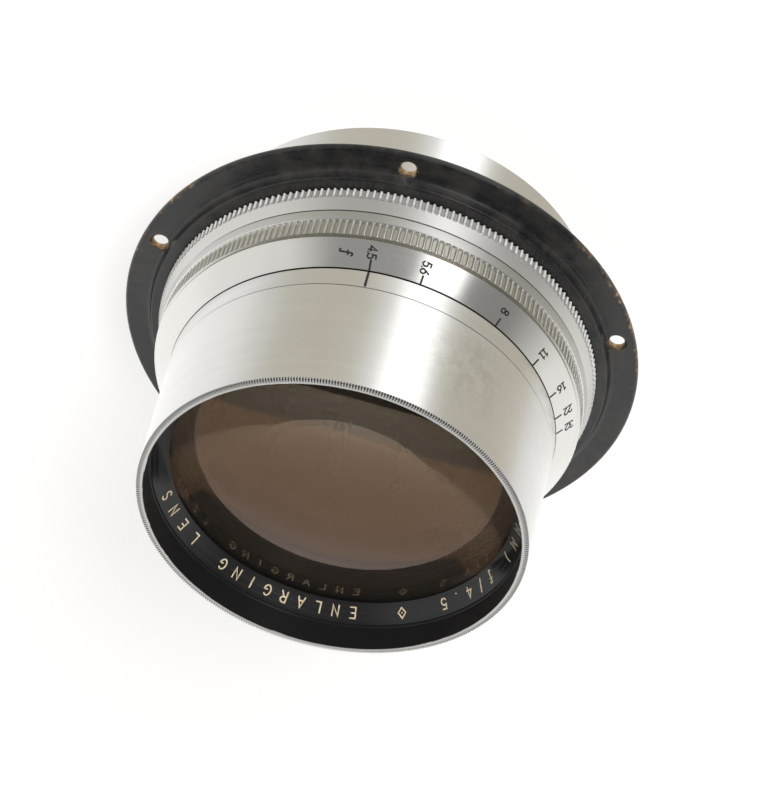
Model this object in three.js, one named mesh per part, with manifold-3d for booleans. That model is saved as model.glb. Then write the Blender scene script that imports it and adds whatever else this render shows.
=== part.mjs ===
// Large barrel-mounted enlarging lens: a four-element lens in three groups, with an iris between them.
// Millimetres, +Z along the optical axis towards the front. The lens stands on its rear rim, at z = 0,
// and its aperture index faces -Y.
import * as THREE from 'three';
import { mergeVertices } from 'three/addons/utils/BufferGeometryUtils.js';
import Module from 'manifold-3d';

const wasm = await Module();
wasm.setup();

// ---- driving dimensions ---------------------------------------------------------------------------
const TOTAL_LENGTH = 63.2;
const RING_SEGMENTS = 36; // sides of every turned piece
const GAP = 0.3; // between faces that meet
const THREAD_GAP = 0.3; // between threaded diameters, drawn plain

// outside diameters, as radii
const FRONT_BARREL_R = 35.5;
const FRONT_RIM_R = 35.04;
const SHOULDER_R = 40.5;
const BAND_R = 39.3; // front end of the conical band between the shoulder and the ring
const REAR_BARREL_R = 36.2;
const FLANGE_R = 47.75;

// stations along the axis
const FLANGE_REAR_Z = 17.3;
const FLANGE_PLATE_Z = 18.8;
const FLANGE_HUB_Z = 20.9;
const SHOULDER_Z = 21.15;
const RING_REAR_Z = 26.1;
const RING_FRONT_Z = 36.15;
const COLLAR_REAR_Z = 36.45;
const COLLAR_FRONT_Z = 40.2;
const FRONT_BARREL_Z = 40.4;

// mounting flange
const FLANGE_BORE_R = 36.9;
const FLANGE_HUB_R = 42.4;
const SCREW_CIRCLE_R = 44.4;
const SCREW_HOLE_R = 1.4;
const COUNTERSINK_R = 1.9;
const FLANGE_HOLES = 5;
const FIRST_HOLE_DEG = -94.1;

// fixed barrel
const FLANGE_THREAD_R = FLANGE_BORE_R - THREAD_GAP;
const CHAMBER_R = 33.4; // bore of the iris chamber
const CHAMBER_WALL_R = 36.2; // outside of the chamber, under the aperture ring
const CHAMBER_FRONT_Z = 31.5;
const NECK_R = 33.7; // outside of the barrel in front of the chamber
const NECK_Z = 32.9;
const NECK_BORE_R = 32.3;
const NECK_BORE_Z = 33.3;

// iris
const BLADES = 18;
const RING_TRAVEL_DEG = 85.3; // aperture ring, f/4.5 to f/32
const PIVOT_CIRCLE_R = 31.0;
const BLADE_INNER_R = 26.25;
const BLADE_OUTER_R = 32.0;
const BLADE_THICKNESS = 0.05;
const BLADE_PIN_DEG = 180 - RING_TRAVEL_DEG / 2; // from pivot pin to drive pin, iris open
const BLADE_END_DEG = 1.8; // beyond each pin
const BLADE_RAMP = [[-2, 0], [20, 0.15], [118, 3.05], [139.35, 3.2]]; // angle along the blade, rise
const BLADE_STEPS = 18;
const PIN_R = 0.45;
const PIN_HOLE_R = 0.68;
const IRIS_STOP_R = 25.2;
const HOUSING_REAR_Z = 24.0;
const HOUSING_BASE_Z = 25.2;
const HOUSING_WALL_R = 32.35;
const HOUSING_FRONT_Z = 28.6;
const BLADE_HEAD_Z = 25.45;
const CAM_REAR_Z = 28.85;
const CAM_FRONT_Z = 31.25;
const CAM_INNER_R = 25.4;
const IRIS_PART_R = CHAMBER_R - THREAD_GAP;

// drive screw, from the aperture ring through the slot in the barrel to the cam ring
const SCREW_Z = 30.05;
const SCREW_R = 0.8;
const SCREW_HEAD_R = 1.3;
const SCREW_HEAD_SEAT_R = 38.35;
const SCREW_HEAD_TOP_R = 39.05;
const SCREW_TIP_R = 29.9;
const SCREW_CLEARANCE = 0.18;
const SCREW_DEG = BLADE_PIN_DEG + 0.5 * (360 / BLADES) - 100; // midway between two cam slots

// glass, from front to rear: surface radii, and vertices on the axis
const FRONT_GLASS = { edge: 33.0, frontR: 85, frontZ: 60.0, rearR: 700, rearZ: 49.2 };
const SECOND_GLASS = { edge: 30.4, frontR: 205, frontZ: 43.0, rearR: 79, rearZ: 39.8 };
const THIRD_GLASS = { edge: 29.0, frontR: 380, frontZ: 19.5, rearR: 70, rearZ: 16.5 };
const FOURTH_GLASS = { edge: 29.0, frontR: 70, frontZ: 16.35, rearR: 130, rearZ: 6.0 };
const SECOND_FRONT_FLAT_R = 29.4; // the polished faces end inside the edge
const SECOND_REAR_FLAT_R = 27.4;
const GLASS_STEPS = 3;

// ---- colours --------------------------------------------------------------------------------------
const finish = (color, roughness, metalness) => new THREE.MeshStandardMaterial({ color, roughness, metalness });
const satinMetal = finish(0xc9c6be, 0.32, 1.0);
const blackPaint = finish(0x1a1a1c, 0.45, 0.2);
const blackAnodised = finish(0x101012, 0.35, 0.4);
const brassMetal = finish(0xb08d4a, 0.4, 1.0);
const bladeSteel = finish(0x2a2a2e, 0.4, 0.9);
const springSteel = finish(0x8d8f94, 0.35, 1.0);
const clearGlass = finish(0xd8cfc4, 0.05, 0.0);
clearGlass.transparent = true;
clearGlass.opacity = 0.35;

// ---- solids ---------------------------------------------------------------------------------------
const radians = THREE.MathUtils.degToRad;

// One indexed mesh with shared corners, no empty triangles, and its faces pointing out.
function closed(geometry) {
  geometry.deleteAttribute('normal');
  geometry.deleteAttribute('uv');
  const merged = mergeVertices(geometry, 1e-5);
  const at = merged.getAttribute('position');
  const kept = [];
  let volume = 0;
  const corner = (i) => new THREE.Vector3().fromBufferAttribute(at, i);
  for (let i = 0; i < merged.index.count; i += 3) {
    const [a, b, c] = [0, 1, 2].map((k) => merged.index.getX(i + k));
    if (a === b || b === c || c === a) continue;
    kept.push(a, b, c);
    volume += corner(a).dot(corner(b).cross(corner(c)));
  }
  if (volume < 0) {
    for (let i = 0; i < kept.length; i += 3) [kept[i], kept[i + 1]] = [kept[i + 1], kept[i]];
  }
  merged.setIndex(kept);
  return merged;
}

// Revolve a profile of [radius, z] points, which closes on itself or ends on the axis, about +Z.
function turned(profile, segments = RING_SEGMENTS) {
  const points = profile.map(([r, z]) => new THREE.Vector2(r, z));
  const onAxis = profile[0][0] === 0 && profile.at(-1)[0] === 0;
  if (!onAxis) points.push(points[0].clone());
  const geometry = new THREE.LatheGeometry(points, segments);
  geometry.rotateX(Math.PI / 2);
  return closed(geometry);
}

function toSolid(geometry) {
  const vertProperties = Float32Array.from(geometry.getAttribute('position').array);
  const triVerts = Uint32Array.from(geometry.index.array);
  return new wasm.Manifold(new wasm.Mesh({ numProp: 3, vertProperties, triVerts }));
}

function fromSolid(solid) {
  const mesh = solid.getMesh();
  const geometry = new THREE.BufferGeometry();
  geometry.setAttribute('position', new THREE.BufferAttribute(Float32Array.from(mesh.vertProperties), 3));
  geometry.setIndex(Array.from(mesh.triVerts));
  return geometry;
}

function cut(geometry, cutters) {
  return fromSolid(cutters.reduce((solid, cutter) => solid.subtract(toSolid(cutter)), toSolid(geometry)));
}

function joined(geometries) {
  return fromSolid(geometries.map(toSolid).reduce((a, b) => a.add(b)));
}

// A round bar along +Z between two heights, centred at a polar position.
function bar(radius, z0, z1, sides, circleR = 0, degrees = 0) {
  const geometry = turned([[0, z0], [radius, z0], [radius, z1], [0, z1]], sides);
  geometry.translate(circleR, 0, 0);
  geometry.rotateZ(radians(degrees));
  return geometry;
}

// A turned profile of [radius, distance from the optical axis], laid along a radius of the lens.
function radial(profile, sides, z, degrees) {
  const geometry = turned(profile, sides);
  geometry.rotateY(Math.PI / 2);
  geometry.translate(0, 0, z);
  geometry.rotateZ(radians(degrees));
  return geometry;
}

// How far a sphere of the given radius falls away from its vertex at r.
function sag(sphereR, r) {
  return sphereR - Math.sqrt(sphereR * sphereR - r * r);
}

// Points of a spherical face, from r0 to r1; rise is +1 where the rim stands in front of the vertex.
function face(sphereR, vertexZ, rise, r0, r1) {
  const points = [];
  for (let i = 0; i <= GLASS_STEPS; i += 1) {
    const r = r0 + ((r1 - r0) * i) / GLASS_STEPS;
    points.push([r, vertexZ + rise * sag(sphereR, r)]);
  }
  return points;
}

// ---- mounting flange ------------------------------------------------------------------------------
function mountingFlange() {
  const edge = 0.4; // rounding of the plate's rim
  const plate = turned([
    [FLANGE_BORE_R, FLANGE_REAR_Z],
    [FLANGE_R - edge, FLANGE_REAR_Z],
    [FLANGE_R, FLANGE_REAR_Z + edge],
    [FLANGE_R, FLANGE_PLATE_Z - edge],
    [FLANGE_R - edge, FLANGE_PLATE_Z],
    [FLANGE_HUB_R + 1.2, FLANGE_PLATE_Z],
    [FLANGE_HUB_R + 0.5, FLANGE_PLATE_Z + 0.4],
    [FLANGE_HUB_R + 0.15, FLANGE_HUB_Z - 0.8],
    [FLANGE_HUB_R, FLANGE_HUB_Z],
    [FLANGE_BORE_R, FLANGE_HUB_Z],
  ]);
  const sinkStartZ = FLANGE_PLATE_Z - (COUNTERSINK_R - SCREW_HOLE_R);
  const burr = 0.35; // small chamfer at the rear of each hole
  const drills = [];
  for (let i = 0; i < FLANGE_HOLES; i += 1) {
    const drill = turned([
      [0, FLANGE_REAR_Z - 1],
      [SCREW_HOLE_R + burr, FLANGE_REAR_Z - 1],
      [SCREW_HOLE_R + burr, FLANGE_REAR_Z],
      [SCREW_HOLE_R, FLANGE_REAR_Z + burr],
      [SCREW_HOLE_R, sinkStartZ],
      [COUNTERSINK_R, FLANGE_PLATE_Z],
      [COUNTERSINK_R, FLANGE_HUB_Z + 1],
      [0, FLANGE_HUB_Z + 1],
    ], 12);
    drill.translate(SCREW_CIRCLE_R, 0, 0);
    drill.rotateZ(radians(FIRST_HOLE_DEG + (i * 360) / FLANGE_HOLES));
    drills.push(drill);
  }
  return cut(plate, drills);
}

// ---- fixed barrel ---------------------------------------------------------------------------------
// A prism that follows an arc: from r0 to r1, between two angles, and from z0 to z1.
function arcPrism(r0, r1, startDeg, endDeg, z0, z1) {
  const shape = new THREE.Shape();
  shape.absarc(0, 0, r1, radians(startDeg), radians(endDeg), false);
  shape.absarc(0, 0, r0, radians(endDeg), radians(startDeg), true);
  shape.closePath();
  const options = { depth: z1 - z0, bevelEnabled: false, curveSegments: 12 };
  const geometry = new THREE.ExtrudeGeometry(shape, options);
  geometry.translate(0, 0, z0);
  return closed(geometry);
}

function mainBarrel() {
  const shell = turned([
    [CHAMBER_R, FLANGE_REAR_Z + 0.2],
    [FLANGE_THREAD_R, FLANGE_REAR_Z + 0.2],
    [FLANGE_THREAD_R, SHOULDER_Z],
    [SHOULDER_R, SHOULDER_Z],
    [SHOULDER_R, SHOULDER_Z + 1.75],
    [BAND_R, RING_REAR_Z - 0.2],
    [CHAMBER_WALL_R, RING_REAR_Z - 0.2],
    [CHAMBER_WALL_R, NECK_Z],
    [NECK_R, NECK_Z],
    [NECK_R, COLLAR_FRONT_Z - 0.2],
    [NECK_BORE_R, COLLAR_FRONT_Z - 0.2],
    [NECK_BORE_R, NECK_BORE_Z],
    [30.6, NECK_BORE_Z],
    [30.6, CHAMBER_FRONT_Z],
    [CHAMBER_R, CHAMBER_FRONT_Z],
  ]);
  const endRoom = 2.2; // degrees from the screw's axis to the end of its slot
  const halfHeight = SCREW_R + 0.4;
  const slot = arcPrism(
    CHAMBER_R - 1,
    CHAMBER_WALL_R + 1,
    SCREW_DEG - endRoom,
    SCREW_DEG + RING_TRAVEL_DEG + endRoom,
    SCREW_Z - halfHeight,
    SCREW_Z + halfHeight,
  );
  return cut(shell, [slot]);
}

// ---- aperture ring, its collar and its spring -----------------------------------------------------
function apertureRing() {
  const ring = turned([
    [36.5, RING_REAR_Z],
    [39.6, RING_REAR_Z],
    [39.35, 27.8],
    [39.2, 27.95],
    [39.2, 31.5],
    [38.4, 31.65],
    [38.4, 31.85],
    [38.85, 32.0],
    [FRONT_BARREL_R + 0.05, RING_FRONT_Z],
    [NECK_R + GAP, RING_FRONT_Z],
    [NECK_R + GAP, NECK_Z + GAP],
    [36.5, NECK_Z + GAP],
  ]);
  const hole = radial([
    [0, 35],
    [SCREW_R + SCREW_CLEARANCE, 35],
    [SCREW_R + SCREW_CLEARANCE, SCREW_HEAD_SEAT_R - 0.2],
    [SCREW_HEAD_R + SCREW_CLEARANCE, SCREW_HEAD_SEAT_R - 0.2],
    [SCREW_HEAD_R + SCREW_CLEARANCE, 41],
    [0, 41],
  ], 12, SCREW_Z, SCREW_DEG);
  return cut(ring, [hole]);
}

function driveScrew() {
  const screw = radial([
    [0, SCREW_TIP_R],
    [SCREW_R, SCREW_TIP_R],
    [SCREW_R, SCREW_HEAD_SEAT_R],
    [SCREW_HEAD_R, SCREW_HEAD_SEAT_R],
    [SCREW_HEAD_R, SCREW_HEAD_TOP_R],
    [0, SCREW_HEAD_TOP_R],
  ], 12, SCREW_Z, SCREW_DEG);
  const driverSlot = new THREE.BoxGeometry(1, 0.5, 4 * SCREW_HEAD_R);
  driverSlot.translate(SCREW_HEAD_TOP_R + 0.15, 0, SCREW_Z);
  driverSlot.rotateZ(radians(SCREW_DEG));
  return cut(screw, [closed(driverSlot)]);
}

function indexCollar() {
  const springPocketR = 34.95;
  const springPocketZ = COLLAR_REAR_Z + 0.8;
  return turned([
    [springPocketR, COLLAR_REAR_Z],
    [FRONT_BARREL_R, COLLAR_REAR_Z],
    [FRONT_BARREL_R, COLLAR_FRONT_Z],
    [NECK_R + THREAD_GAP, COLLAR_FRONT_Z],
    [NECK_R + THREAD_GAP, springPocketZ],
    [springPocketR, springPocketZ],
  ]);
}

function ringSpring() {
  return turned([[34.1, 36.5], [34.75, 36.5], [34.75, 36.85], [34.1, 36.85]]);
}

// ---- front cell -----------------------------------------------------------------------------------
function frontCellBarrel() {
  const spigotR = NECK_BORE_R - THREAD_GAP;
  return turned([
    [27.6, 33.6],
    [spigotR, 33.6],
    [spigotR, FRONT_BARREL_Z],
    [FRONT_BARREL_R, FRONT_BARREL_Z],
    [FRONT_RIM_R, TOTAL_LENGTH],
    [33.75, TOTAL_LENGTH],
    [33.7, 57.2],
    [33.4, 57.2],
    [33.4, 46.2],
    [30.7, 46.2],
    [30.7, 34.6],
    [27.6, 34.6],
  ]);
}

function nameRing() {
  return turned([
    [30.95, 54.5],
    [33.55, 57.6],
    [33.55, 57.4],
    [33.15, 57.0],
    [33.15, 53.75],
    [31.3, 54.3],
  ]);
}

function frontElement() {
  const g = FRONT_GLASS;
  return turned([
    ...face(g.frontR, g.frontZ, -1, 0, g.edge),
    ...face(g.rearR, g.rearZ, 1, g.edge, 0),
  ]);
}

function frontSpacer() {
  return turned([
    [29.9, 45.4],
    [30.4, 45.4],
    [30.4, 46.5],
    [33.1, 46.5],
    [33.1, 49.6],
    [31.2, 49.6],
    [29.9, 48.8],
  ]);
}

function secondElement() {
  const g = SECOND_GLASS;
  return turned([
    ...face(g.frontR, g.frontZ, 1, 0, SECOND_FRONT_FLAT_R),
    [g.edge, g.frontZ + sag(g.frontR, SECOND_FRONT_FLAT_R)],
    [g.edge, g.rearZ - sag(g.rearR, SECOND_REAR_FLAT_R)],
    ...face(g.rearR, g.rearZ, -1, SECOND_REAR_FLAT_R, 0),
  ]);
}

// ---- iris -----------------------------------------------------------------------------------------
function irisHousing() {
  const cup = turned([
    [IRIS_STOP_R, HOUSING_REAR_Z],
    [IRIS_PART_R, HOUSING_REAR_Z],
    [IRIS_PART_R, HOUSING_FRONT_Z],
    [HOUSING_WALL_R, HOUSING_FRONT_Z],
    [HOUSING_WALL_R, HOUSING_BASE_Z],
    [IRIS_STOP_R, HOUSING_BASE_Z],
  ]);
  const drills = [];
  for (let i = 0; i < BLADES; i += 1) {
    const at = (i * 360) / BLADES;
    drills.push(bar(PIN_HOLE_R, HOUSING_REAR_Z - 1, HOUSING_BASE_Z + 1, 8, PIVOT_CIRCLE_R, at));
  }
  return cut(cup, drills);
}

// The drive pin of a blade, seen from the cam ring, runs in and out along a narrow loop; the slot clears it.
function camSlot(degrees) {
  const innerR = 26.05;
  const outerR = 31.75;
  const halfWidth = 1.3;
  const halfEnd = 0.7;
  const taper = 0.65;
  const shape = new THREE.Shape();
  shape.moveTo(innerR, -halfEnd);
  shape.lineTo(innerR + taper, -halfWidth);
  shape.lineTo(outerR - taper, -halfWidth);
  shape.lineTo(outerR, -halfEnd);
  shape.lineTo(outerR, halfEnd);
  shape.lineTo(outerR - taper, halfWidth);
  shape.lineTo(innerR + taper, halfWidth);
  shape.lineTo(innerR, halfEnd);
  shape.closePath();
  const geometry = new THREE.ExtrudeGeometry(shape, { depth: 6, bevelEnabled: false });
  geometry.translate(0, 0, CAM_REAR_Z - 2);
  geometry.rotateZ(radians(degrees));
  return closed(geometry);
}

function camRing() {
  const ring = turned([
    [CAM_INNER_R, CAM_REAR_Z],
    [IRIS_PART_R - 0.1, CAM_REAR_Z],
    [IRIS_PART_R - 0.1, CAM_FRONT_Z],
    [CAM_INNER_R, CAM_FRONT_Z],
  ]);
  const tapR = SCREW_R + 0.15;
  const cutters = [radial([[0, 29.4], [tapR, 29.4], [tapR, 35], [0, 35]], 12, SCREW_Z, SCREW_DEG)];
  for (let i = 0; i < BLADES; i += 1) cutters.push(camSlot(BLADE_PIN_DEG + (i * 360) / BLADES));
  return cut(ring, cutters);
}

function rampRise(degrees) {
  for (let i = 1; i < BLADE_RAMP.length; i += 1) {
    const [a, low] = BLADE_RAMP[i - 1];
    const [b, high] = BLADE_RAMP[i];
    if (degrees <= b) return low + ((high - low) * (degrees - a)) / (b - a);
  }
  return BLADE_RAMP.at(-1)[1];
}

// One blade: a thin arc that climbs from the housing to the cam ring, so that the blades lie in turn
// over each other all the way round. Its pivot pin points to the rear and its drive pin to the front.
function irisBlade(degrees) {
  const cornerInnerR = 27.6;
  const cornerOuterR = 31.55;
  const stations = [[-BLADE_END_DEG, cornerInnerR, cornerOuterR]];
  for (let i = 0; i <= BLADE_STEPS; i += 1) {
    stations.push([(BLADE_PIN_DEG * i) / BLADE_STEPS, BLADE_INNER_R, BLADE_OUTER_R]);
  }
  stations.push([BLADE_PIN_DEG + BLADE_END_DEG, cornerInnerR, cornerOuterR]);
  const position = [];
  for (const [at, innerR, outerR] of stations) {
    const z = BLADE_HEAD_Z + rampRise(at);
    for (const [r, dz] of [[innerR, -0.5], [outerR, -0.5], [outerR, 0.5], [innerR, 0.5]]) {
      position.push(r * Math.cos(radians(at)), r * Math.sin(radians(at)), z + dz * BLADE_THICKNESS);
    }
  }
  const index = [0, 1, 2, 0, 2, 3];
  for (let s = 0; s < stations.length - 1; s += 1) {
    for (let k = 0; k < 4; k += 1) {
      const a = 4 * s + k;
      const b = 4 * s + ((k + 1) % 4);
      index.push(a, a + 4, b, b, a + 4, b + 4);
    }
  }
  const last = 4 * (stations.length - 1);
  index.push(last, last + 2, last + 1, last, last + 3, last + 2);
  const strip = new THREE.BufferGeometry();
  strip.setAttribute('position', new THREE.Float32BufferAttribute(position, 3));
  strip.setIndex(index);
  const tailZ = BLADE_HEAD_Z + rampRise(BLADE_PIN_DEG);
  const pivotPin = bar(PIN_R, HOUSING_REAR_Z + 0.2, BLADE_HEAD_Z + 0.01, 6, PIVOT_CIRCLE_R, 0);
  const drivePin = bar(PIN_R, tailZ - 0.01, CAM_FRONT_Z - 0.3, 6, PIVOT_CIRCLE_R, BLADE_PIN_DEG);
  const blade = joined([closed(strip), pivotPin, drivePin]);
  blade.rotateZ(radians(degrees));
  return blade;
}

function irisRetainingRing() {
  return turned([[30.0, 22.3], [IRIS_PART_R, 22.3], [IRIS_PART_R, 23.7], [30.0, 23.7]]);
}

// ---- rear cell ------------------------------------------------------------------------------------
function rearCellBarrel() {
  return turned([
    [34.4, 0],
    [REAR_BARREL_R, 0],
    [REAR_BARREL_R, FLANGE_REAR_Z - 0.1],
    [IRIS_PART_R, FLANGE_REAR_Z - 0.1],
    [IRIS_PART_R, 22.0],
    [27.4, 22.0],
    [27.4, 20.95],
    [29.3, 20.95],
    [29.3, 9.3],
    [31.5, 9.3],
    [31.5, 4.0],
    [34.4, 0.8],
  ]);
}

function rearRetainingRing() {
  return turned([[28.0, 8.75], [31.2, 8.75], [31.2, 5.2], [29.6, 5.2]]);
}

function thirdElement() {
  const g = THIRD_GLASS;
  return turned([
    ...face(g.frontR, g.frontZ, 1, 0, g.edge),
    ...face(g.rearR, g.rearZ, -1, g.edge, 0),
  ]);
}

function fourthElement() {
  const g = FOURTH_GLASS;
  return turned([
    ...face(g.frontR, g.frontZ, -1, 0, g.edge),
    ...face(g.rearR, g.rearZ, 1, g.edge, 0),
  ]);
}

// ---- assembly -------------------------------------------------------------------------------------
function group(...meshes) {
  const part = new THREE.Group();
  part.add(...meshes);
  return part;
}

function node(name, geometry, material) {
  const mesh = new THREE.Mesh(geometry, material);
  mesh.name = name;
  return mesh;
}

const blades = [];
for (let i = 0; i < BLADES; i += 1) {
  const label = String(i + 1).padStart(2, '0');
  blades.push(node(`iris_blade_${label}`, irisBlade((i * 360) / BLADES), bladeSteel));
}

const barrelGroup = group(
  node('mounting_flange', mountingFlange(), blackPaint),
  node('main_barrel', mainBarrel(), satinMetal),
  node('index_collar', indexCollar(), satinMetal),
  node('ring_wave_spring', ringSpring(), springSteel),
);

const ringGroup = group(
  node('aperture_ring', apertureRing(), satinMetal),
  node('drive_screw', driveScrew(), brassMetal),
  node('iris_cam_ring', camRing(), brassMetal),
);

const frontGroup = group(
  node('front_cell_barrel', frontCellBarrel(), satinMetal),
  node('name_ring', nameRing(), blackAnodised),
  node('front_element', frontElement(), clearGlass),
  node('front_spacer_ring', frontSpacer(), blackAnodised),
  node('second_element', secondElement(), clearGlass),
);

const irisGroup = group(
  node('iris_housing', irisHousing(), brassMetal),
  node('iris_retaining_ring', irisRetainingRing(), blackAnodised),
  ...blades,
);

const rearGroup = group(
  node('rear_cell_barrel', rearCellBarrel(), satinMetal),
  node('rear_retaining_ring', rearRetainingRing(), blackAnodised),
  node('third_element', thirdElement(), clearGlass),
  node('fourth_element', fourthElement(), clearGlass),
);

const enlargerLens = group(barrelGroup, ringGroup, frontGroup, irisGroup, rearGroup);

export default enlargerLens;
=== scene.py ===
"""Large barrel-mounted enlarging lens: its looks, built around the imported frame.

Metres in Blender, +Z along the optical axis towards the front. Dimensions below are in millimetres.
"""
import math

import bpy
from mathutils import Matrix, Vector

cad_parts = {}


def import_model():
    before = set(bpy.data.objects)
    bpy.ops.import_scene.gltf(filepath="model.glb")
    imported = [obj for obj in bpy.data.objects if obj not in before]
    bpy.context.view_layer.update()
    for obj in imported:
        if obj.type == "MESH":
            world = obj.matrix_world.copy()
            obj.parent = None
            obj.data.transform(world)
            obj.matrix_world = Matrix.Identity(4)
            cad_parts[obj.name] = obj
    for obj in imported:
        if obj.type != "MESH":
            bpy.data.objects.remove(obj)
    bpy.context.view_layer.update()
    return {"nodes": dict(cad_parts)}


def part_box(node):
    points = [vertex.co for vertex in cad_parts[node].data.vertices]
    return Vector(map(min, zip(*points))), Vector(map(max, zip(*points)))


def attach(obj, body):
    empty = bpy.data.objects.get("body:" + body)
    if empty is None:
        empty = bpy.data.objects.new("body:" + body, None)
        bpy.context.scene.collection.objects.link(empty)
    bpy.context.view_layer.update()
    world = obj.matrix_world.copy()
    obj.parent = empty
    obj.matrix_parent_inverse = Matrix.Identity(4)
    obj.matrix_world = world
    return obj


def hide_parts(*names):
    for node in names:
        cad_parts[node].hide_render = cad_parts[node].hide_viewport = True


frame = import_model()

MM = 0.001

# ---- where things face ----
CAMERA_AZIMUTH = -98.1  # degrees about +Z, of the meridian that faces the camera
SCALE_SLOPE = ((38.85, 32.0), (35.55, 36.15))  # cone of the aperture ring, radius and z, rear to front
NAME_SLOPE = ((30.95, 54.5), (33.55, 57.6))  # cone of the name ring, radius and z, inner to outer

# ---- turning ----
PLAIN_COLUMNS = 240
AXIS = 0.001


def outline(node, degrees=0.0):
    """Section of a turned CAD node in the half plane at that angle: [radius, z] points, in order."""
    mesh = frame["nodes"][node].data
    places = []
    for vertex in mesh.vertices:
        radius = math.hypot(vertex.co.x, vertex.co.y) / MM
        off = math.degrees(math.atan2(vertex.co.y, vertex.co.x)) - degrees
        on_plane = radius < AXIS or abs((off + 180) % 360 - 180) < 0.05
        places.append((round(radius, 3), round(vertex.co.z / MM, 3)) if on_plane else None)
    links = {}
    for edge in mesh.edges:
        a, b = (places[i] for i in edge.vertices)
        if a and b and a != b:
            links.setdefault(a, set()).add(b)
            links.setdefault(b, set()).add(a)
    path = [min(links, key=lambda p: (len(links[p]), p))]
    while True:
        unseen = sorted(p for p in links[path[-1]] if p not in path)
        if not unseen:
            break
        path.append(unseen[0])
    area = sum(a[0] * b[1] - b[0] * a[1] for a, b in zip(path, path[1:] + path[:1]))
    return path if area > 0 else path[::-1]


def rounded(points, ease=0.12, steps=3):
    """The outline with rounded corners. ease is how far from a corner its rounding starts, in mm."""
    result = []
    for i, corner in enumerate(points):
        here = Vector(corner)
        before, after = Vector(points[i - 1]) - here, Vector(points[(i + 1) % len(points)]) - here
        if here.x < AXIS or before.angle(after) > math.radians(172):
            result.append(corner)
            continue
        wanted = ease(corner) if callable(ease) else ease
        room = 0.45 * min(before.length, after.length)
        start = here + before.normalized() * min(wanted, room)
        end = here + after.normalized() * min(wanted, room)
        for step in range(steps + 1):
            t = step / steps
            point = start * (1 - t) ** 2 + here * 2 * t * (1 - t) + end * t**2
            result.append((point.x, point.y))
    return result


def with_rows(points, heights, beyond):
    """Adds a point at each height where the outline, outside the radius beyond, crosses it."""
    result = []
    for i, (r0, z0) in enumerate(points):
        r1, z1 = points[(i + 1) % len(points)]
        result.append((r0, z0))
        if min(r0, r1) > beyond:
            crossed = [h for h in heights if min(z0, z1) < h < max(z0, z1)]
            for height in sorted(crossed, reverse=z1 < z0):
                result.append((r0 + (r1 - r0) * (height - z0) / (z1 - z0), height))
    return result


class Knurl:
    """Straight teeth round an outside face, from one height to another.

    tooth is [share across the tooth, how deep there from 0 to 1] points, starting at share 0. The cut
    reaches its full depth over run_in mm at the rear end and run_out mm at the front end. Its floor is a
    cylinder depth inside tip. Faces of the piece more than margin inside the floor stay as they are.
    """

    def __init__(self, teeth, low, high, tip, depth, tooth, run_in=0.0, run_out=0.0, margin=0.4):
        self.teeth, self.low, self.high, self.tip, self.depth = teeth, low, high, tip, depth
        self.tooth, self.run_in, self.run_out = tooth, run_in, run_out
        self.inner = tip - depth - margin

    def covers(self, radius, z):
        return self.low - AXIS <= z <= self.high + AXIS and radius > self.inner

    def cut(self, radius, z, share_depth):
        """The radius left of a point on the face, that far down the tooth."""
        rear = min(1.0, (z - self.low) / self.run_in) if self.run_in else 1.0
        front = min(1.0, (self.high - z) / self.run_out) if self.run_out else 1.0
        envelope = math.sin(max(0.0, rear) * math.pi / 2) * math.sin(max(0.0, front) * math.pi / 2)
        return min(radius, self.tip - self.depth * share_depth * envelope)

    def rows(self, points, count):
        """The outline with extra rows through the knurled stretch and two just beyond it."""
        step = (self.high - self.low) / count
        heights = [self.low + step * i for i in range(count + 1)] + [self.high + 0.05, self.high + 0.25]
        return with_rows(points, heights, self.inner)


def bridge(lower, upper):
    """Faces between two rings, one of which may be a point or have several columns to the other's one."""
    if len(lower) == 1:
        return [(lower[0], upper[(j + 1) % len(upper)], upper[j]) for j in range(len(upper))]
    if len(upper) == 1:
        return [(lower[j], lower[(j + 1) % len(lower)], upper[0]) for j in range(len(lower))]
    coarse = min(len(lower), len(upper))
    per_low, per_high = len(lower) // coarse, len(upper) // coarse
    faces = []
    for j in range(coarse):
        below = [lower[(j * per_low + i) % len(lower)] for i in range(per_low + 1)]
        above = [upper[(j * per_high + i) % len(upper)] for i in range(per_high + 1)]
        faces.append(below + above[::-1])
    return faces


def mesh_piece(name, points, faces):
    """A new object from points in mm."""
    mesh = bpy.data.meshes.new(name)
    mesh.from_pydata([tuple(c * MM for c in p) for p in points], [], faces)
    piece = bpy.data.objects.new(name, mesh)
    bpy.context.scene.collection.objects.link(piece)
    return piece


def turned(name, rows, columns=PLAIN_COLUMNS, knurl=None):
    """Revolves [radius, z] rows about +Z. Rows that end on the axis close there, others form a loop."""
    points, rings = [], []
    if knurl:
        columns = knurl.teeth
    for radius, z in rows:
        fine = knurl is not None and knurl.covers(radius, z)
        shares = knurl.tooth if fine else ((0.0, 0.0),)
        if radius < AXIS:
            rings.append([len(points)])
            points.append((0.0, 0.0, z))
            continue
        rings.append(range(len(points), len(points) + columns * len(shares)))
        for column in range(columns):
            for share, depth in shares:
                angle = math.tau * (column + share) / columns
                r = knurl.cut(radius, z, depth) if fine else radius
                points.append((r * math.cos(angle), r * math.sin(angle), z))
    pairs = list(zip(rings, rings[1:]))
    if rows[0][0] > AXIS:
        pairs.append((rings[-1], rings[0]))
    faces = [face for lower, upper in pairs for face in bridge(lower, upper)]
    return mesh_piece(name, points, faces)


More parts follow.
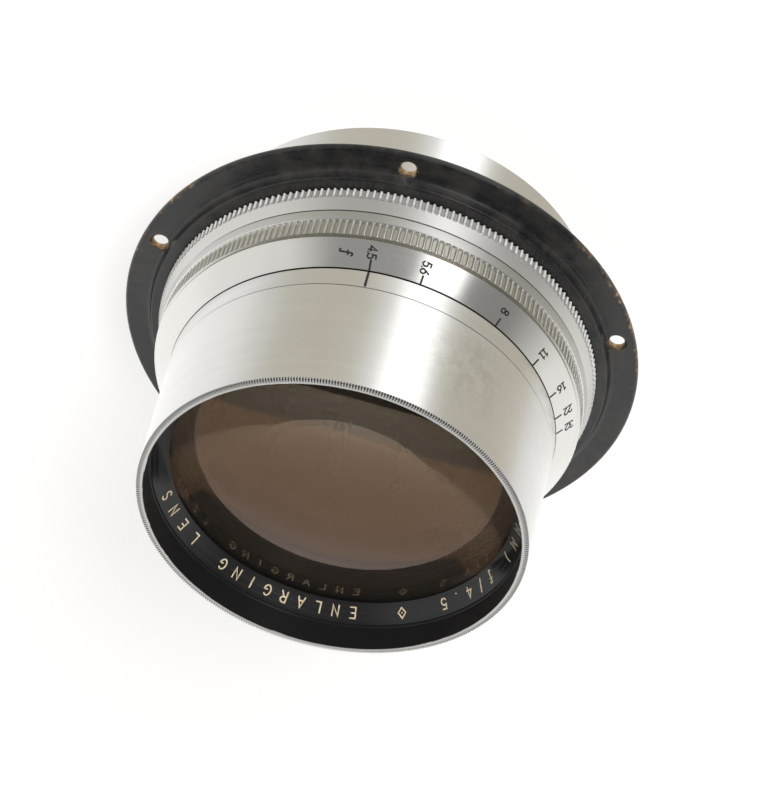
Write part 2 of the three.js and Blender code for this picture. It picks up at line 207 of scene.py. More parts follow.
def cut(piece, cutters):
    """Takes the cutters' solids out of a piece."""
    for cutter in cutters:
        modifier = piece.modifiers.new("cut", "BOOLEAN")
        modifier.operation, modifier.solver, modifier.object = "DIFFERENCE", "EXACT", cutter
    graph = bpy.context.evaluated_depsgraph_get()
    mesh = bpy.data.meshes.new_from_object(piece.evaluated_get(graph))
    piece.modifiers.clear()
    piece.data = mesh
    for cutter in cutters:
        bpy.data.objects.remove(cutter)
    return piece


def joined(name, parts):
    """One object from several that keep apart from each other."""
    points, faces = [], []
    for part in parts:
        base = len(points)
        matrix = part.matrix_world
        points += [tuple(c / MM for c in matrix @ v.co) for v in part.data.vertices]
        faces += [[base + i for i in polygon.vertices] for polygon in part.data.polygons]
        bpy.data.objects.remove(part)
    return mesh_piece(name, points, faces)


def moved(piece, matrix):
    piece.data.transform(matrix)
    return piece


def turn(degrees):
    return Matrix.Rotation(math.radians(degrees), 4, "Z")


def shade(piece, sharp):
    """Smooth shading with crisp edges; large faces keep their own normals beside small bevels."""
    mesh = piece.data
    mesh.polygons.foreach_set("use_smooth", [True] * len(mesh.polygons))
    mesh.set_sharp_from_angle(angle=math.radians(sharp))
    normals = piece.modifiers.new("normals", "WEIGHTED_NORMAL")
    normals.keep_sharp = True


def place(piece, body, slot, material, *nodes, sharp=38):
    """Gives a piece its material and shading, and ties it to the frame."""
    piece.data.materials.clear()
    piece.data.materials.append(material)
    shade(piece, sharp)
    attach(piece, body)
    if nodes:
        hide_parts(*nodes)
    return piece


# ---- materials ----
class Shader:
    """A Principled material, with short ways to add nodes that work on the piece's own coordinates."""

    def __init__(self, name, **constants):
        self.material = bpy.data.materials.new(name)
        self.material.use_nodes = True
        self.tree = self.material.node_tree
        self.surface = self.tree.nodes["Principled BSDF"]
        for socket, value in constants.items():
            self.surface.inputs[socket.replace("_", " ")].default_value = value

    def node(self, kind, *inputs, **settings):
        """A node with its first inputs linked or set, in order, and its settings given."""
        made = self.tree.nodes.new("ShaderNode" + kind)
        for setting, value in settings.items():
            setattr(made, setting, value)
        for socket, value in zip(made.inputs, inputs):
            self.feed(socket, value)
        return made

    def feed(self, socket, value):
        if isinstance(value, bpy.types.NodeSocket):
            self.tree.links.new(value, socket)
        elif value is not None:
            socket.default_value = value

    def set(self, socket, value):
        self.feed(self.surface.inputs[socket], value)

    def math(self, operation, a, b=None, c=None):
        return self.node("Math", a, b, c, operation=operation).outputs[0]

    def times(self, a, b):
        return self.math("MULTIPLY", a, b)

    def plus(self, a, b):
        return self.math("ADD", a, b)

    def length(self, a, b):
        """The length of a flat vector."""
        return self.math("SQRT", self.plus(self.times(a, a), self.times(b, b)))

    def place(self):
        return self.node("TexCoord").outputs["Object"]

    def polar(self):
        """Radius, angle and height of a point on the piece, in metres and radians."""
        x, y, z = self.node("SeparateXYZ", self.place()).outputs
        return self.length(x, y), self.math("ARCTAN2", y, x), z

    def scaled(self, x, y, z):
        """The piece's coordinates times a scale along each axis, per metre."""
        return self.node("Mapping", self.place(), None, None, (x, y, z)).outputs[0]

    def lathe(self, across, along):
        """Coordinates that change quickly across turning marks and slowly along them."""
        x, y, z = self.node("SeparateXYZ", self.place()).outputs
        line = self.plus(self.times(self.polar()[0], 0.9 * across), self.times(z, 1.3 * across))
        return self.node("CombineXYZ", self.times(x, along), self.times(y, along), line).outputs[0]

    def noise(self, vector, detail=3.0, roughness=0.55, offset=None):
        if offset is not None:
            vector = self.node("VectorMath", vector, offset, operation="ADD").outputs[0]
        made = self.node("TexNoise", noise_dimensions="3D")
        values = {"Vector": vector, "Scale": 1.0, "Detail": detail, "Roughness": roughness}
        for socket, value in values.items():
            self.feed(made.inputs[socket], value)
        return made.outputs[0]

    def between(self, value, low, high, out_low=0.0, out_high=1.0):
        """A value remapped smoothly from one range to another."""
        made = self.node("MapRange", value, low, high, out_low, out_high, interpolation_type="SMOOTHSTEP")
        return made.outputs[0]

    def above(self, height, fade=0.06):
        """1 above a height in mm, rising to it over the fade, 0 below."""
        return self.between(self.polar()[2], height * MM, (height + fade) * MM)

    def band(self, low, high):
        """1 between two heights in mm, 0 outside them."""
        return self.math("SUBTRACT", self.above(low), self.above(high - 0.06))

    def mix(self, share, a, b):
        """Colour a where share is 0, b where it is 1."""
        made = self.node("Mix", data_type="RGBA")
        for socket, value in ((made.inputs[0], share), (made.inputs[6], a), (made.inputs[7], b)):
            self.feed(socket, value)
        return made.outputs[2]

    def bump(self, height, depth, strength):
        """Sets a bump of that depth, in mm."""
        made = self.node("Bump")
        made.inputs["Strength"].default_value = strength
        made.inputs["Distance"].default_value = depth * MM
        self.feed(made.inputs["Height"], height)
        self.set("Normal", made.outputs[0])


def rgb(r, g, b):
    return (r, g, b, 1.0)


def tarnish(s, colour, rough, centre, reach):
    """A duller, faintly yellow patch about a place, in mm."""
    spot = tuple(c * MM for c in centre)
    away = s.node("VectorMath", s.place(), spot, operation="DISTANCE").outputs["Value"]
    blotches = s.noise(s.scaled(430, 430, 330), detail=6, roughness=0.7)
    inside = s.between(away, reach * MM, 0.25 * reach * MM)
    patch = s.times(inside, s.between(blotches, 0.40, 0.64))
    colour = s.mix(patch, colour, rgb(0.73, 0.72, 0.665))
    return colour, s.plus(rough, s.times(patch, 0.08))


def lacquer(s, colour, rough, edge, chipped_from, ragged):
    """Black lacquer inside the radius edge, bitten up to ragged mm back above a height.

    Returns the colour, the roughness and the bare metal's share.
    """
    chips = s.noise(s.scaled(420, 420, 420), detail=3, roughness=0.6)
    bites = s.noise(s.scaled(90, 90, 90), detail=2, offset=(3.0, 1.0, 5.0))
    torn = s.times(s.between(chips, 0.45, 0.75), s.between(bites, 0.38, 0.62, 0.15, 1.0))
    torn = s.times(torn, s.above(chipped_from, 0.7))
    line = s.math("SUBTRACT", edge * MM, s.times(torn, ragged * MM))
    covered = s.math("LESS_THAN", s.polar()[0], line)
    bare = s.math("SUBTRACT", 1.0, covered)
    colour = s.mix(covered, colour, rgb(0.008, 0.008, 0.009))
    rough = s.plus(s.times(rough, bare), s.times(covered, 0.34))
    return colour, rough, bare


def frost(s, colour, rough, stretches):
    """Rougher, partly frosted stretches, see satin_metal(); returns the metallic share too."""
    metallic, radius = 1.0, s.polar()[0]
    for low, high, outside, rougher, frosted, tone in stretches:
        there = s.times(s.band(low, high), s.math("GREATER_THAN", radius, outside * MM))
        colour = s.mix(s.times(there, 1.0 - tone), colour, rgb(0.0, 0.0, 0.0))
        rough = s.plus(rough, s.times(there, rougher))
        metallic = s.math("SUBTRACT", metallic, s.times(there, frosted))
    return colour, rough, metallic


def paint_shade_and_tone(s, colour, rough, stretches):
    """Painted shade, and elsewhere a plain darker tone, in the stretches; see satin_metal()."""
    radius = s.polar()[0]
    for low, high, inside, amount, shade_and_tone_colour in stretches:
        there = s.times(s.band(low, high), s.math("LESS_THAN", radius, inside * MM))
        shade_and_tone_paint = s.times(there, amount)
        colour = s.mix(shade_and_tone_paint, colour, rgb(*shade_and_tone_colour))
        rough = s.plus(rough, s.times(shade_and_tone_paint, 0.22))
    return colour, rough


def satin_metal(name, patch=None, shade_and_tone=(), matt=(), painted=None):
    """Turned aluminium: fine marks round the axis, blurred along it.

    patch is the centre and reach, in mm, of a tarnished patch. shade_and_tone is a list of [low, high,
    inside, amount, colour]: a darker colour between two heights where the radius is less than inside,
    painted shade in knurl valleys, notches and the gaps between parts, elsewhere a plain darker tone. matt
    is a list of [low, high, outside, rougher, frosted, tone]: between two heights, beyond a radius, the
    metal is rougher, partly frosted white and darker by a factor. painted is the black lacquer's edge, see
    lacquer().
    """
    s = Shader(name, Anisotropic=0.75, Anisotropic_Rotation=0.25)
    s.feed(s.surface.inputs["Tangent"], s.node("Tangent", direction_type="RADIAL", axis="Z").outputs[0])
    marks = s.noise(s.lathe(1900, 22), detail=4, roughness=0.7)
    coarse = s.noise(s.lathe(420, 12), detail=3, offset=(7.1, 3.3, 1.9))
    clouds = s.noise(s.scaled(55, 55, 55), detail=5, roughness=0.62)
    mottling = s.plus(s.times(clouds, 0.75), s.times(coarse, 0.25))
    colour = s.mix(s.between(mottling, 0.32, 0.68), rgb(0.755, 0.745, 0.72), rgb(0.81, 0.80, 0.775))
    rough = s.plus(s.between(marks, 0.3, 0.7, 0.205, 0.24), s.between(clouds, 0.4, 0.75, 0.0, 0.07))
    if patch:
        colour, rough = tarnish(s, colour, rough, *patch)
    colour, rough, metallic = frost(s, colour, rough, matt)
    colour, rough = paint_shade_and_tone(s, colour, rough, shade_and_tone)
    if painted:
        colour, rough, bare = lacquer(s, colour, rough, *painted)
        metallic = s.times(metallic, bare)
    s.set("Base Color", colour)
    s.set("Roughness", rough)
    s.set("Metallic", metallic)
    s.bump(marks, 0.004, 0.17)
    return s.material


def hole_distance(s, radius, angle, holes):
    """How far a point is from the axis of the nearest hole, in metres; holes is as in black_enamel()."""
    circle, _, count, first = holes
    pitch = math.tau / count
    off = s.math("WRAP", s.math("SUBTRACT", angle, math.radians(first)), pitch / 2, -pitch / 2)
    return s.length(s.times(off, circle * MM), s.math("SUBTRACT", radius, circle * MM))


def black_enamel(name, edge, rear_face, holes):
    """Old satin black paint on brass, rubbed through along the outer edge and round the screw holes.

    edge is the outer radius and rear_face the height of the plate's rear face, in mm; holes is their
    circle, their radius, how many there are and the angle of the first.
    """
    s = Shader(name)
    radius, angle, z = s.polar()
    cloud = s.noise(s.scaled(230, 230, 230), detail=6, roughness=0.72)
    fine = s.noise(s.scaled(900, 900, 900), detail=3, roughness=0.6)
    ring_marks = s.noise(s.lathe(900, 20), detail=3)
    rub = s.noise(s.scaled(75, 75, 200), detail=5, roughness=0.7, offset=(2.0, 9.0, 4.0))
    paint = s.mix(s.between(cloud, 0.35, 0.7), rgb(0.005, 0.005, 0.006), rgb(0.024, 0.023, 0.021))
    rim_wear = s.times(s.between(radius, (edge - 0.75) * MM, edge * MM), s.between(rub, 0.50, 0.66))
    away, hole = hole_distance(s, radius, angle, holes), holes[1]
    ragged = s.plus(away, s.between(fine, 0.3, 0.7, -0.25 * MM, 0.25 * MM))
    hole_wear = s.between(ragged, (hole + 0.35) * MM, (hole - 0.05) * MM)
    halo = s.times(s.between(away, (hole + 1.1) * MM, hole * MM), s.between(rub, 0.42, 0.6, 0.1, 0.75))
    halo = s.times(halo, s.math("LESS_THAN", z, (rear_face + 1.55) * MM))
    thin = s.math("MAXIMUM", halo, s.times(rim_wear, 0.8))
    bare = s.math("MAXIMUM", hole_wear, s.times(rim_wear, s.between(fine, 0.5, 0.62)))
    brass = s.mix(fine, rgb(0.30, 0.19, 0.09), rgb(0.50, 0.36, 0.20))
    s.set("Base Color", s.mix(bare, s.mix(thin, paint, rgb(0.075, 0.045, 0.028)), brass))
    s.set("Metallic", s.times(bare, 0.9))
    rough = s.between(cloud, 0.3, 0.7, 0.26, 0.42)
    s.set("Roughness", s.plus(rough, s.times(s.math("MAXIMUM", halo, rim_wear), 0.12)))
    s.bump(s.plus(s.times(fine, 0.5), s.times(ring_marks, 0.5)), 0.02, 0.35)
    return s.material


def black_finish(name, gloss, dusty, specular):
    """Black anodised or lacquered metal with turning marks and a little dust."""
    s = Shader(name, Specular_IOR_Level=specular)
    marks = s.noise(s.lathe(1400, 15), detail=4, roughness=0.6)
    dust = s.noise(s.scaled(700, 700, 700), detail=4, roughness=0.75)
    dark, light = rgb(0.006, 0.006, 0.0063), rgb(0.012, 0.012, 0.012)
    colour = s.mix(s.between(marks, 0.3, 0.7), dark, light)
    s.set("Base Color", s.mix(s.between(dust, 0.68, 0.80, 0.0, dusty), colour, rgb(0.22, 0.21, 0.20)))
    s.set("Roughness", s.between(marks, 0.3, 0.7, gloss - 0.05, gloss + 0.08))
    s.bump(marks, 0.004, 0.4)
    return s.material


def metal_finish(name, low, high, rough, across=1500, along=20):
    """A plain metal between two tones, with marks from turning or rolling."""
    s = Shader(name, Metallic=1.0)
    marks = s.noise(s.lathe(across, along), detail=4, roughness=0.65)
    stain = s.noise(s.scaled(160, 160, 160), detail=5, roughness=0.65)
    s.set("Base Color", s.mix(s.between(stain, 0.35, 0.7), rgb(*low), rgb(*high)))
    worn = s.between(stain, 0.4, 0.8, 0.0, 0.1)
    s.set("Roughness", s.plus(s.between(marks, 0.3, 0.7, rough - 0.05, rough + 0.05), worn))
    s.bump(marks, 0.004, 0.3)
    return s.material


def ink(name, low, high):
    """Paint in an engraved line, a little uneven."""
    s = Shader(name)
    grain = s.noise(s.scaled(2600, 2600, 2600), detail=3, roughness=0.6)
    s.set("Base Color", s.mix(s.between(grain, 0.35, 0.65), rgb(*low), rgb(*high)))
    s.set("Roughness", s.between(grain, 0.3, 0.7, 0.47, 0.65))
    return s.material


def coated_glass(name, ior, tint, body, haze, polished):
    """Glass with a warm coating, haze and wipe marks, painted matt black outside its polished radius."""
    s = Shader(name, IOR=ior, Specular_Tint=rgb(*tint))
    wipe = s.noise(s.scaled(40, 160, 40), detail=5, roughness=0.6)
    clear = s.mix(s.between(wipe, 0.3, 0.7), rgb(*(0.985 * c for c in body)), rgb(*body))
    edge = s.math("GREATER_THAN", s.polar()[0], polished * MM)
    s.set("Base Color", s.mix(edge, clear, rgb(0.006, 0.006, 0.006)))
    s.set("Transmission Weight", s.times(s.math("SUBTRACT", 1.0, edge), 1.0 - haze))
    s.set("Roughness", s.times(edge, 0.8))
    return s.material


# ---- engraving ----
# Single-stroke figures in a cell one unit high. A stroke is a list of points (x, y) and arcs (centre x,
# centre y, radius x, radius y, start, end), with angles in degrees from +x.
GLYPHS = {
    "0": (0.56, [[(0.28, 0.5, 0.26, 0.48, 90, 450)]]),
    "1": (0.44, [[(0.06, 0.80), (0.22, 0.98), (0.22, 0.02)], [(0.05, 0.02), (0.39, 0.02)]]),
    "2": (0.56, [[(0.27, 0.73, 0.24, 0.25, 165, -35), (0.03, 0.02), (0.54, 0.02)]]),
    "3": (0.56, [[(0.25, 0.75, 0.22, 0.23, 150, -90), (0.25, 0.27, 0.25, 0.25, 90, -150)]]),
    "4": (0.60, [[(0.42, 0.02), (0.42, 0.98), (0.03, 0.28), (0.57, 0.28)]]),
    "5": (0.56, [[(0.48, 0.98), (0.12, 0.98), (0.07, 0.55), (0.26, 0.32, 0.26, 0.30, 120, -150)]]),
    "6": (0.56, [[(0.44, 0.98), (0.16, 0.60), (0.28, 0.30, 0.25, 0.28, 150, -210)]]),
    "8": (0.56, [[(0.28, 0.75, 0.20, 0.23, 270, -90), (0.28, 0.27, 0.25, 0.25, 90, -270)]]),
    "A": (0.66, [[(0.03, 0.0), (0.33, 1.0), (0.63, 0.0)], [(0.14, 0.34), (0.52, 0.34)]]),
    "C": (0.66, [[(0.35, 0.5, 0.31, 0.48, 45, 315)]]),
    "E": (0.58, [[(0.54, 1.0), (0.06, 1.0), (0.06, 0.0), (0.54, 0.0)], [(0.06, 0.52), (0.44, 0.52)]]),
    "G": (0.68, [[(0.35, 0.5, 0.31, 0.48, 50, 345), (0.65, 0.44), (0.40, 0.44)]]),
    "H": (0.64, [[(0.06, 0.0), (0.06, 1.0)], [(0.58, 0.0), (0.58, 1.0)], [(0.06, 0.5), (0.58, 0.5)]]),
    "I": (0.20, [[(0.10, 0.0), (0.10, 1.0)]]),
    "L": (0.54, [[(0.06, 1.0), (0.06, 0.0), (0.50, 0.0)]]),
    "M": (0.76, [[(0.05, 0.0), (0.08, 1.0), (0.38, 0.25), (0.68, 1.0), (0.71, 0.0)]]),
    "N": (0.66, [[(0.06, 0.0), (0.06, 1.0), (0.60, 0.0), (0.60, 1.0)]]),
    "R": (0.62, [[(0.06, 0.0), (0.06, 1.0), (0.30, 1.0), (0.32, 0.75, 0.24, 0.25, 90, -90), (0.06, 0.5)],
                 [(0.30, 0.5), (0.58, 0.0)]]),
    "S": (0.60, [[(0.30, 0.76, 0.24, 0.24, 30, 250), (0.30, 0.25, 0.25, 0.25, 80, -150)]]),
    "f": (0.56, [[(0.42, 0.84, 0.12, 0.14, 20, 170), (0.22, 0.10), (0.12, 0.0, 0.11, 0.12, 10, -160)],
                 [(0.14, 0.58), (0.44, 0.58)]]),
    "(": (0.32, [[(0.42, 0.5, 0.34, 0.62, 125, 235)]]),
    ")": (0.32, [[(-0.10, 0.5, 0.34, 0.62, 55, -55)]]),
    "/": (0.46, [[(0.04, -0.06), (0.42, 1.06)]]),
    ".": (0.12, [[(0.06, 0.01), (0.06, 0.03)]]),
    "mark": (0.70, [[(0.35, 0.05), (0.68, 0.5), (0.35, 0.95), (0.02, 0.5), (0.35, 0.05)],
                    [(0.34, 0.5), (0.36, 0.5)]]),
}
ARC_STEP = 15  # degrees


def stroke_line(stroke):
    """The points of a stroke, its arcs worked out."""
    line = []
    for item in stroke:
        if len(item) == 2:
            line.append(Vector(item))
            continue
        x, y, rx, ry, start, end = item
        count = max(2, round(abs(end - start) / ARC_STEP))
        for i in range(count + 1):
            at = math.radians(start + (end - start) * i / count)
            line.append(Vector((x + rx * math.cos(at), y + ry * math.sin(at))))
    return line


def ribbon(line, width):
    """A closed outline about a line, with round ends, and mitred at its bends."""
    sides = ([], [])
    for i, point in enumerate(line):
        before = (point - line[i - 1]).normalized() if i else None
        after = (line[i + 1] - point).normalized() if i + 1 < len(line) else None
        along = ((before or after) + (after or before)).normalized()
        turn_share = along.dot(after or before)
        across = Vector((-along.y, along.x)) * width / 2 / max(turn_share, 0.5)
        sides[0].append(point + across)
        sides[1].append(point - across)
    return sides


class Engraving:
    """Strokes laid on a turned surface as thin filled lines.

    onto(u, v) gives the point and the outward direction of the surface, in mm, u along the reading
    direction and v up the letters. Each stroke is a bar that stands lift above the surface.
    """

    LIFT, DEPTH, CAP_STEPS = 0.012, 0.05, 5

    def __init__(self, name):
        self.name, self.points, self.faces = name, [], []

    def stroke(self, line, width, onto):
        left, right = ribbon(line, width)
        start, end = line[0] - line[1], line[-1] - line[-2]
        loop = left + self.cap(line[-1], end, width) + right[::-1] + self.cap(line[0], start, width)
        base, count = len(self.points), len(loop)
        for height in (self.LIFT, -self.DEPTH):
            for u, v in loop:
                point, normal = onto(u, v)
                self.points.append(tuple(point + normal * height))
        sides, last = len(left), base + count - 1 - self.CAP_STEPS
        top = [[base + i, base + i + 1, last - i - 1, last - i] for i in range(sides - 1)]
        end_fan = list(range(base + sides - 1, base + sides + self.CAP_STEPS + 1))
        start_fan = list(range(last, base + count)) + [base]
        for face in top + [end_fan, start_fan]:
            self.faces.append(face[::-1])
            self.faces.append([i + count for i in face])
        for i in range(count):
            following = (i + 1) % count
            self.faces.append([base + i, base + following, base + count + following, base + count + i])

    def cap(self, centre, direction, width):
        """Points of a half circle from the left of the direction to its right, without its ends."""
        facing = math.atan2(direction.y, direction.x)
        result = []
        for i in range(1, self.CAP_STEPS + 1):
            at = facing + math.pi / 2 - math.pi * i / (self.CAP_STEPS + 1)
            result.append(centre + Vector((math.cos(at), math.sin(at))) * width / 2)
        return result

    def text(self, words, height, width, onto, spacing=0.22):
        """Letters along u, centred on 0, on a baseline at v = -height / 2."""
        cells = [GLYPHS[c][0] for c in words]
        x = -(sum(cells) + spacing * (len(cells) - 1)) / 2
        for character, cell in zip(words, cells):
            for stroke in GLYPHS[character][1]:
                line = [Vector(((x + p.x) * height, (p.y - 0.5) * height)) for p in stroke_line(stroke)]
                self.stroke(line, width, onto)
            x += cell + spacing

    def piece(self):
        return mesh_piece(self.name, self.points, self.faces)


def onto_slope(slope, degrees, along, reading):
    """Maps engraving onto a cone between two [radius, z] points.

    The cell's centre is at that angle, and along mm up the slope. reading "axial" runs up the slope, with
    the letters' tops clockwise; "round" runs clockwise, with their tops up the slope.
    """
    (r0, z0), (r1, z1) = slope
    length = math.hypot(r1 - r0, z1 - z0)
    up_r, up_z = (r1 - r0) / length, (z1 - z0) / length
    out_r, out_z = (up_z, -up_r) if reading == "axial" else (-up_z, up_r)

    def onto(u, v):
        climb, sideways = (u, v) if reading == "axial" else (v, u)
        radius, z = r0 + up_r * (along + climb), z0 + up_z * (along + climb)
        angle = math.radians(degrees) - sideways / radius
        point = Vector((radius * math.cos(angle), radius * math.sin(angle), z))
        return point, Vector((out_r * math.cos(angle), out_r * math.sin(angle), out_z))

    return onto


# ---- pieces ----
FLANGE_SCREWS = (44.4, 1.4, 5, -94.1)  # circle, hole radius, how many, angle of the first
COUNTERSINK = 1.9
FLANGE_EDGE = 47.75
BURR = 0.35  # chamfer at the rear of each hole
RIDGES = ((0.0, 1.0), (0.52, 1.0), (0.57, 0.45), (0.62, 0.14), (0.69, 0.02), (0.76, 0.0), (0.83, 0.02),
          (0.90, 0.14), (0.95, 0.45))
NOTCHES = ((0.0, 1.0), (0.46, 1.0), (0.52, 0.62), (0.60, 0.22), (0.68, 0.04), (0.74, 0.0), (0.80, 0.04),
           (0.88, 0.22), (0.96, 0.62))
SERRATION = ((0.0, 1.0), (0.17, 0.9), (0.32, 0.1), (0.5, 0.0), (0.68, 0.1), (0.83, 0.9))


def flange():
    def ease(corner):
        radius, z = corner
        return 0.6 if 42.0 < radius < 45 and z > 18.5 else 0.45

    piece = turned("flange_plate", rounded(outline("mounting_flange"), ease, steps=5), columns=300)
    circle, hole, count, first = FLANGE_SCREWS
    rear, front = 17.3, 18.8
    sink = front - (COUNTERSINK - hole)
    profile = [(0.0, rear - 1), (hole + BURR, rear - 1), (hole + BURR, rear), (hole, rear + BURR),
               (hole, sink), (COUNTERSINK, front), (COUNTERSINK, front + 2.5), (0.0, front + 2.5)]
    cutters = []
    for i in range(count):
        drill = turned("drill", profile, columns=48)
        moved(drill, turn(first + i * 360 / count) @ outward(circle))
        cutters.append(drill)
    cut(piece, cutters)
    paint = black_enamel("flange_enamel", FLANGE_EDGE, rear, FLANGE_SCREWS)
    return place(piece, "barrel", "black_paint", paint, "mounting_flange")


def swept(name, sections):
    """A solid through sections of four corners each, in order."""
    points = [corner for section in sections for corner in section]
    faces = [(i + k, i + 4 + k, i + 4 + (k + 1) % 4, i + (k + 1) % 4)
             for i in range(0, len(points) - 4, 4) for k in range(4)]
    faces += [(0, 1, 2, 3), tuple(len(points) - k for k in (1, 2, 3, 4))]
    return mesh_piece(name, points, faces)


def arc_prism(radii, angles, heights):
    """A solid that follows an arc between two radii, two angles and two heights."""
    steps = 59
    stops = [angles[0] + (angles[1] - angles[0]) * i / steps for i in range(steps + 1)]
    (inner, outer), (low, high) = radii, heights
    section = ((inner, low), (outer, low), (outer, high), (inner, high))
    return swept("arc", [[(r * math.cos(math.radians(a)), r * math.sin(math.radians(a)), z)
                          for r, z in section] for a in stops])


def fixed_barrel():
    knurl = Knurl(212, 21.15, 23.6, tip=40.5, depth=0.5, tooth=NOTCHES, run_out=0.9, margin=1.0)
    rows = knurl.rows(rounded(outline("main_barrel"), 0.08), 10)
    piece = turned("fixed_barrel", rows, knurl=knurl)
    screw_slot = arc_prism((32.4, 37.2), (45.15, 134.85), (28.85, 31.25))
    cut(piece, [screw_slot])
    # Painted shade: grey in the shoulder knurl's valleys, black in the gap under the aperture ring.
    shade_and_tone_paint = ((20.0, 22.9, 40.25, 0.75, (0.20, 0.195, 0.19)), (25.6, 26.0, 39.6, 0.9, (0.05, 0.048, 0.045)))
    matt = ((21.0, 22.95, 38.0, 0.17, 0.6, 1.0), (22.9, 26.0, 38.0, 0.17, 0.08, 1.0))
    metal = satin_metal("barrel_metal", shade_and_tone=shade_and_tone_paint, matt=matt, painted=(36.3, 0.0, 0.0))
    return place(piece, "barrel", "satin_metal", metal, "main_barrel")


def aperture_ring():
    knurl = Knurl(208, 27.95, 31.5, tip=39.2, depth=0.42, tooth=RIDGES, run_in=0.25, run_out=0.6)
    rows = knurl.rows(rounded(outline("aperture_ring"), 0.05), 9)
    piece = turned("aperture_ring_body", rows, knurl=knurl)
    screw_hole = [(0.0, 35.0), (0.98, 35.0), (0.98, 38.15), (1.48, 38.15), (1.48, 41.0), (0.0, 41.0)]
    cut(piece, [radial_turned("screw_hole", screw_hole)])
    # Painted shade in the knurl's valleys and the gap under the collar; a tan groove; black inner faces.
    shade_and_tone_paint = ((27.9, 31.5, 39.0, 0.8, (0.62, 0.59, 0.50)), (31.6, 32.0, 39.0, 0.75, (0.52, 0.44, 0.31)),
            (36.1, 37.0, 36.0, 1.0, (0.01, 0.01, 0.01)), (25.0, 33.3, 37.0, 1.0, (0.02, 0.02, 0.02)))
    matt = ((26.0, 27.9, 38.0, 0.17, 0.0, 1.0), (27.9, 31.6, 38.0, 0.06, 0.0, 1.0))
    metal = satin_metal("ring_metal", shade_and_tone=shade_and_tone_paint, matt=matt)
    return place(piece, "aperture_ring", "satin_metal", metal, "aperture_ring")


def collar():
    grown = [(r, z + 0.08 if z > 40.0 else z) for r, z in rounded(outline("index_collar"), 0.05)]
    piece = turned("index_collar_ring", grown)
    # Painted shade: black on the collar's rear face, in the gap above the aperture ring.
    shade_and_tone_paint = ((36.0, 36.5, 35.6, 1.0, (0.01, 0.01, 0.01)),)
    return place(piece, "barrel", "satin_metal", satin_metal("collar_metal", shade_and_tone=shade_and_tone_paint), "index_collar")


def front_barrel():
    """The front cell's barrel, with a finely notched front edge and a ledge inside, above the name ring."""
    ledge_r, ledge_z = 33.62, 58.1
    points = []
    for r, z in outline("front_cell_barrel"):
        inside = 33.6 < r < 33.73 and z < ledge_z
        points += [(33.74, ledge_z + 0.06), (ledge_r, ledge_z), (ledge_r, z)] if inside else [(r, z)]
    notches = Knurl(432, 62.82, 63.2, tip=35.05, depth=0.85, tooth=SERRATION, run_in=0.38)
    rows = notches.rows(rounded(points, 0.05, steps=2), 5)
    piece = turned("front_barrel", rows, knurl=notches)
    # Painted shade: dark on the floors of the notches round the front edge.
    shade_and_tone_paint = ((62.7, 63.19, 34.97, 0.8, (0.15, 0.15, 0.15)),)
    matt = ((63.1, 63.5, 33.8, 0.12, 0.0, 0.66),)
    metal = satin_metal("front_barrel_metal", patch=((-20.0, -29.0, 50.0), 11.0), shade_and_tone=shade_and_tone_paint, matt=matt,
                        painted=(33.87, 62.7, 0.3))
    return place(piece, "barrel", "satin_metal", metal, "front_cell_barrel")


def name_ring():
    piece = turned("name_ring_body", rounded(outline("name_ring"), 0.05))
    black = black_finish("name_ring_black", gloss=0.15, dusty=0.15, specular=0.4)
    return place(piece, "barrel", "black_anodised", black, "name_ring")


def sphere_rows(front, rear, edge, flat_front, flat_rear):
    """Rows of a glass element, rear vertex to front vertex.

    front and rear are [sphere radius, rise, vertex]: rise is 1 where the rim stands in front of the
    vertex, -1 where behind. flat_front and flat_rear are where a polished face ends before the edge.
    """
    rows, steps = [], 20
    for (sphere, rise, vertex), flat, order in ((rear, flat_rear, 1), (front, flat_front, -1)):
        reach = flat or edge
        face = []
        for i in range(steps + 1):
            r = reach * i / steps
            face.append((r, vertex + rise * (sphere - math.sqrt(sphere * sphere - r * r))))
        if flat:
            face.append((edge, face[-1][1]))
        rows += face[::order]
    return rows


def glass():
    front = (1.62, (0.58, 0.24, 0.06), (0.76, 0.67, 0.56), 0.025)
    inner = (1.42, (0.60, 0.32, 0.15), (0.90, 0.85, 0.78), 0.0)
    elements = (
        ("front_glass", "front_element", front, (85, -1, 60.0), (700, 1, 49.2), 33.0, None, None),
        ("second_glass", "second_element", inner, (205, 1, 43.0), (79, -1, 39.8), 30.4, 29.4, 27.4),
        ("third_glass", "third_element", inner, (380, 1, 19.5), (70, -1, 16.5), 29.0, None, None),
        ("fourth_glass", "fourth_element", inner, (70, -1, 16.35), (130, 1, 6.0), 29.0, None, None),
    )
    for name, node, coating, front_face, rear_face, edge, flat_front, flat_rear in elements:
        rows = sphere_rows(front_face, rear_face, edge, flat_front, flat_rear)
        polished = (flat_front or edge) - 0.02
        material = coated_glass(name + "_coating", *coating, polished)
        place(turned(name, rows, columns=180), "barrel", "lens_glass", material, node, sharp=25)


def plain_rings():
    black = black_finish("cell_black", gloss=0.75, dusty=0.1, specular=0.12)
    for name, node in (("spacer_ring", "front_spacer_ring"), ("iris_clamp_ring", "iris_retaining_ring"),
                       ("rear_clamp_ring", "rear_retaining_ring")):
        place(turned(name, rounded(outline(node), 0.08)), "barrel", "black_anodised", black, node)
    spring = metal_finish("spring_steel", (0.42, 0.42, 0.43), (0.58, 0.58, 0.60), 0.3)
    wave = turned("wave_spring", rounded(outline("ring_wave_spring"), 0.05))
    place(wave, "barrel", "spring_steel", spring, "ring_wave_spring")
    rear = turned("rear_barrel", rounded(outline("rear_cell_barrel"), 0.15))
    metal = satin_metal("rear_barrel_metal", painted=(35.9, 0.0, 0.0))
    place(rear, "barrel", "satin_metal", metal, "rear_cell_barrel")


